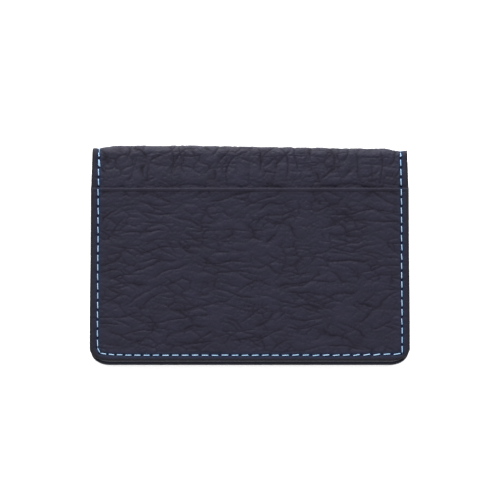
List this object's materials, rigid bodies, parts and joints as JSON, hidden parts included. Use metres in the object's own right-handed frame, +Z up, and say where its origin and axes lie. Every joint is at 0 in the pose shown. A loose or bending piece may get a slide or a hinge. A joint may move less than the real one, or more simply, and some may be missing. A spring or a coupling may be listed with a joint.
{
  "type": "card holder",
  "caption": "Flat folding card holder in grained leather: a cover with a card pocket, a spine, and a gusseted card pouch with an outer slip pocket, sewn all round.",
  "frame": {"origin": "centre of the bounding box's bottom face, in the plane that the closed case rests on", "axes": "+X along the case's width; +Y from the opening edge to the spine; +Z up through the closed case, from the front cover to the outer slip pocket"},
  "size_m": [0.11, 0.075, 0.0152],
  "materials": {
    "grain_leather": "pebbled navy calf, satin, with painted edges",
    "smooth_leather": "smooth navy lining leather, satin",
    "stiffener_board": "bonded leather board, matte",
    "thread": "waxed sky-blue polyester thread, twisted"
  },
  "bodies": {
    "front_cover": {"cover_leather": "grain_leather", "cover_stiffener": "stiffener_board", "cover_lining": "smooth_leather", "cover_card_pocket": "smooth_leather", "cover_seam_thread": "thread"},
    "spine": {"spine_leather": "grain_leather", "spine_lining": "smooth_leather", "spine_seam_thread": "thread"},
    "card_pouch": {"back_leather": "grain_leather", "back_stiffener": "stiffener_board", "back_lining": "smooth_leather", "outer_slip_pocket": "grain_leather", "back_seam_thread": "thread", "left_gusset": "smooth_leather", "right_gusset": "smooth_leather", "main_pocket_hem": "grain_leather", "hem_seam_thread": "thread"},
    "pocket_front": {"main_pocket_front": "grain_leather", "main_pocket_lining": "smooth_leather", "pocket_seam_thread": "thread"}
  },
  "joints": [
    {"name": "spine_fold", "type": "hinge", "parent": "front_cover", "child": "spine", "pos_m": [0, 0.03648, 0.00103], "axis": [-1, 0, 0], "range_deg": [0, 81.5]},
    {"name": "pouch_fold", "type": "hinge", "parent": "spine", "child": "card_pouch", "pos_m": [0, 0.03637, 0.01347], "axis": [-1, 0, 0], "range_deg": [0, 103.5]},
    {"name": "pocket_press", "type": "hinge", "parent": "card_pouch", "child": "pocket_front", "pos_m": [0, -0.03268, 0.00425], "axis": [-1, 0, 0], "range_deg": [-4.7, 0], "deforming": ["left_gusset", "right_gusset"]}
  ],
  "couplings": [
    {"joint": "pouch_fold", "follows": "spine_fold", "ratio": 1.2699}
  ]
}
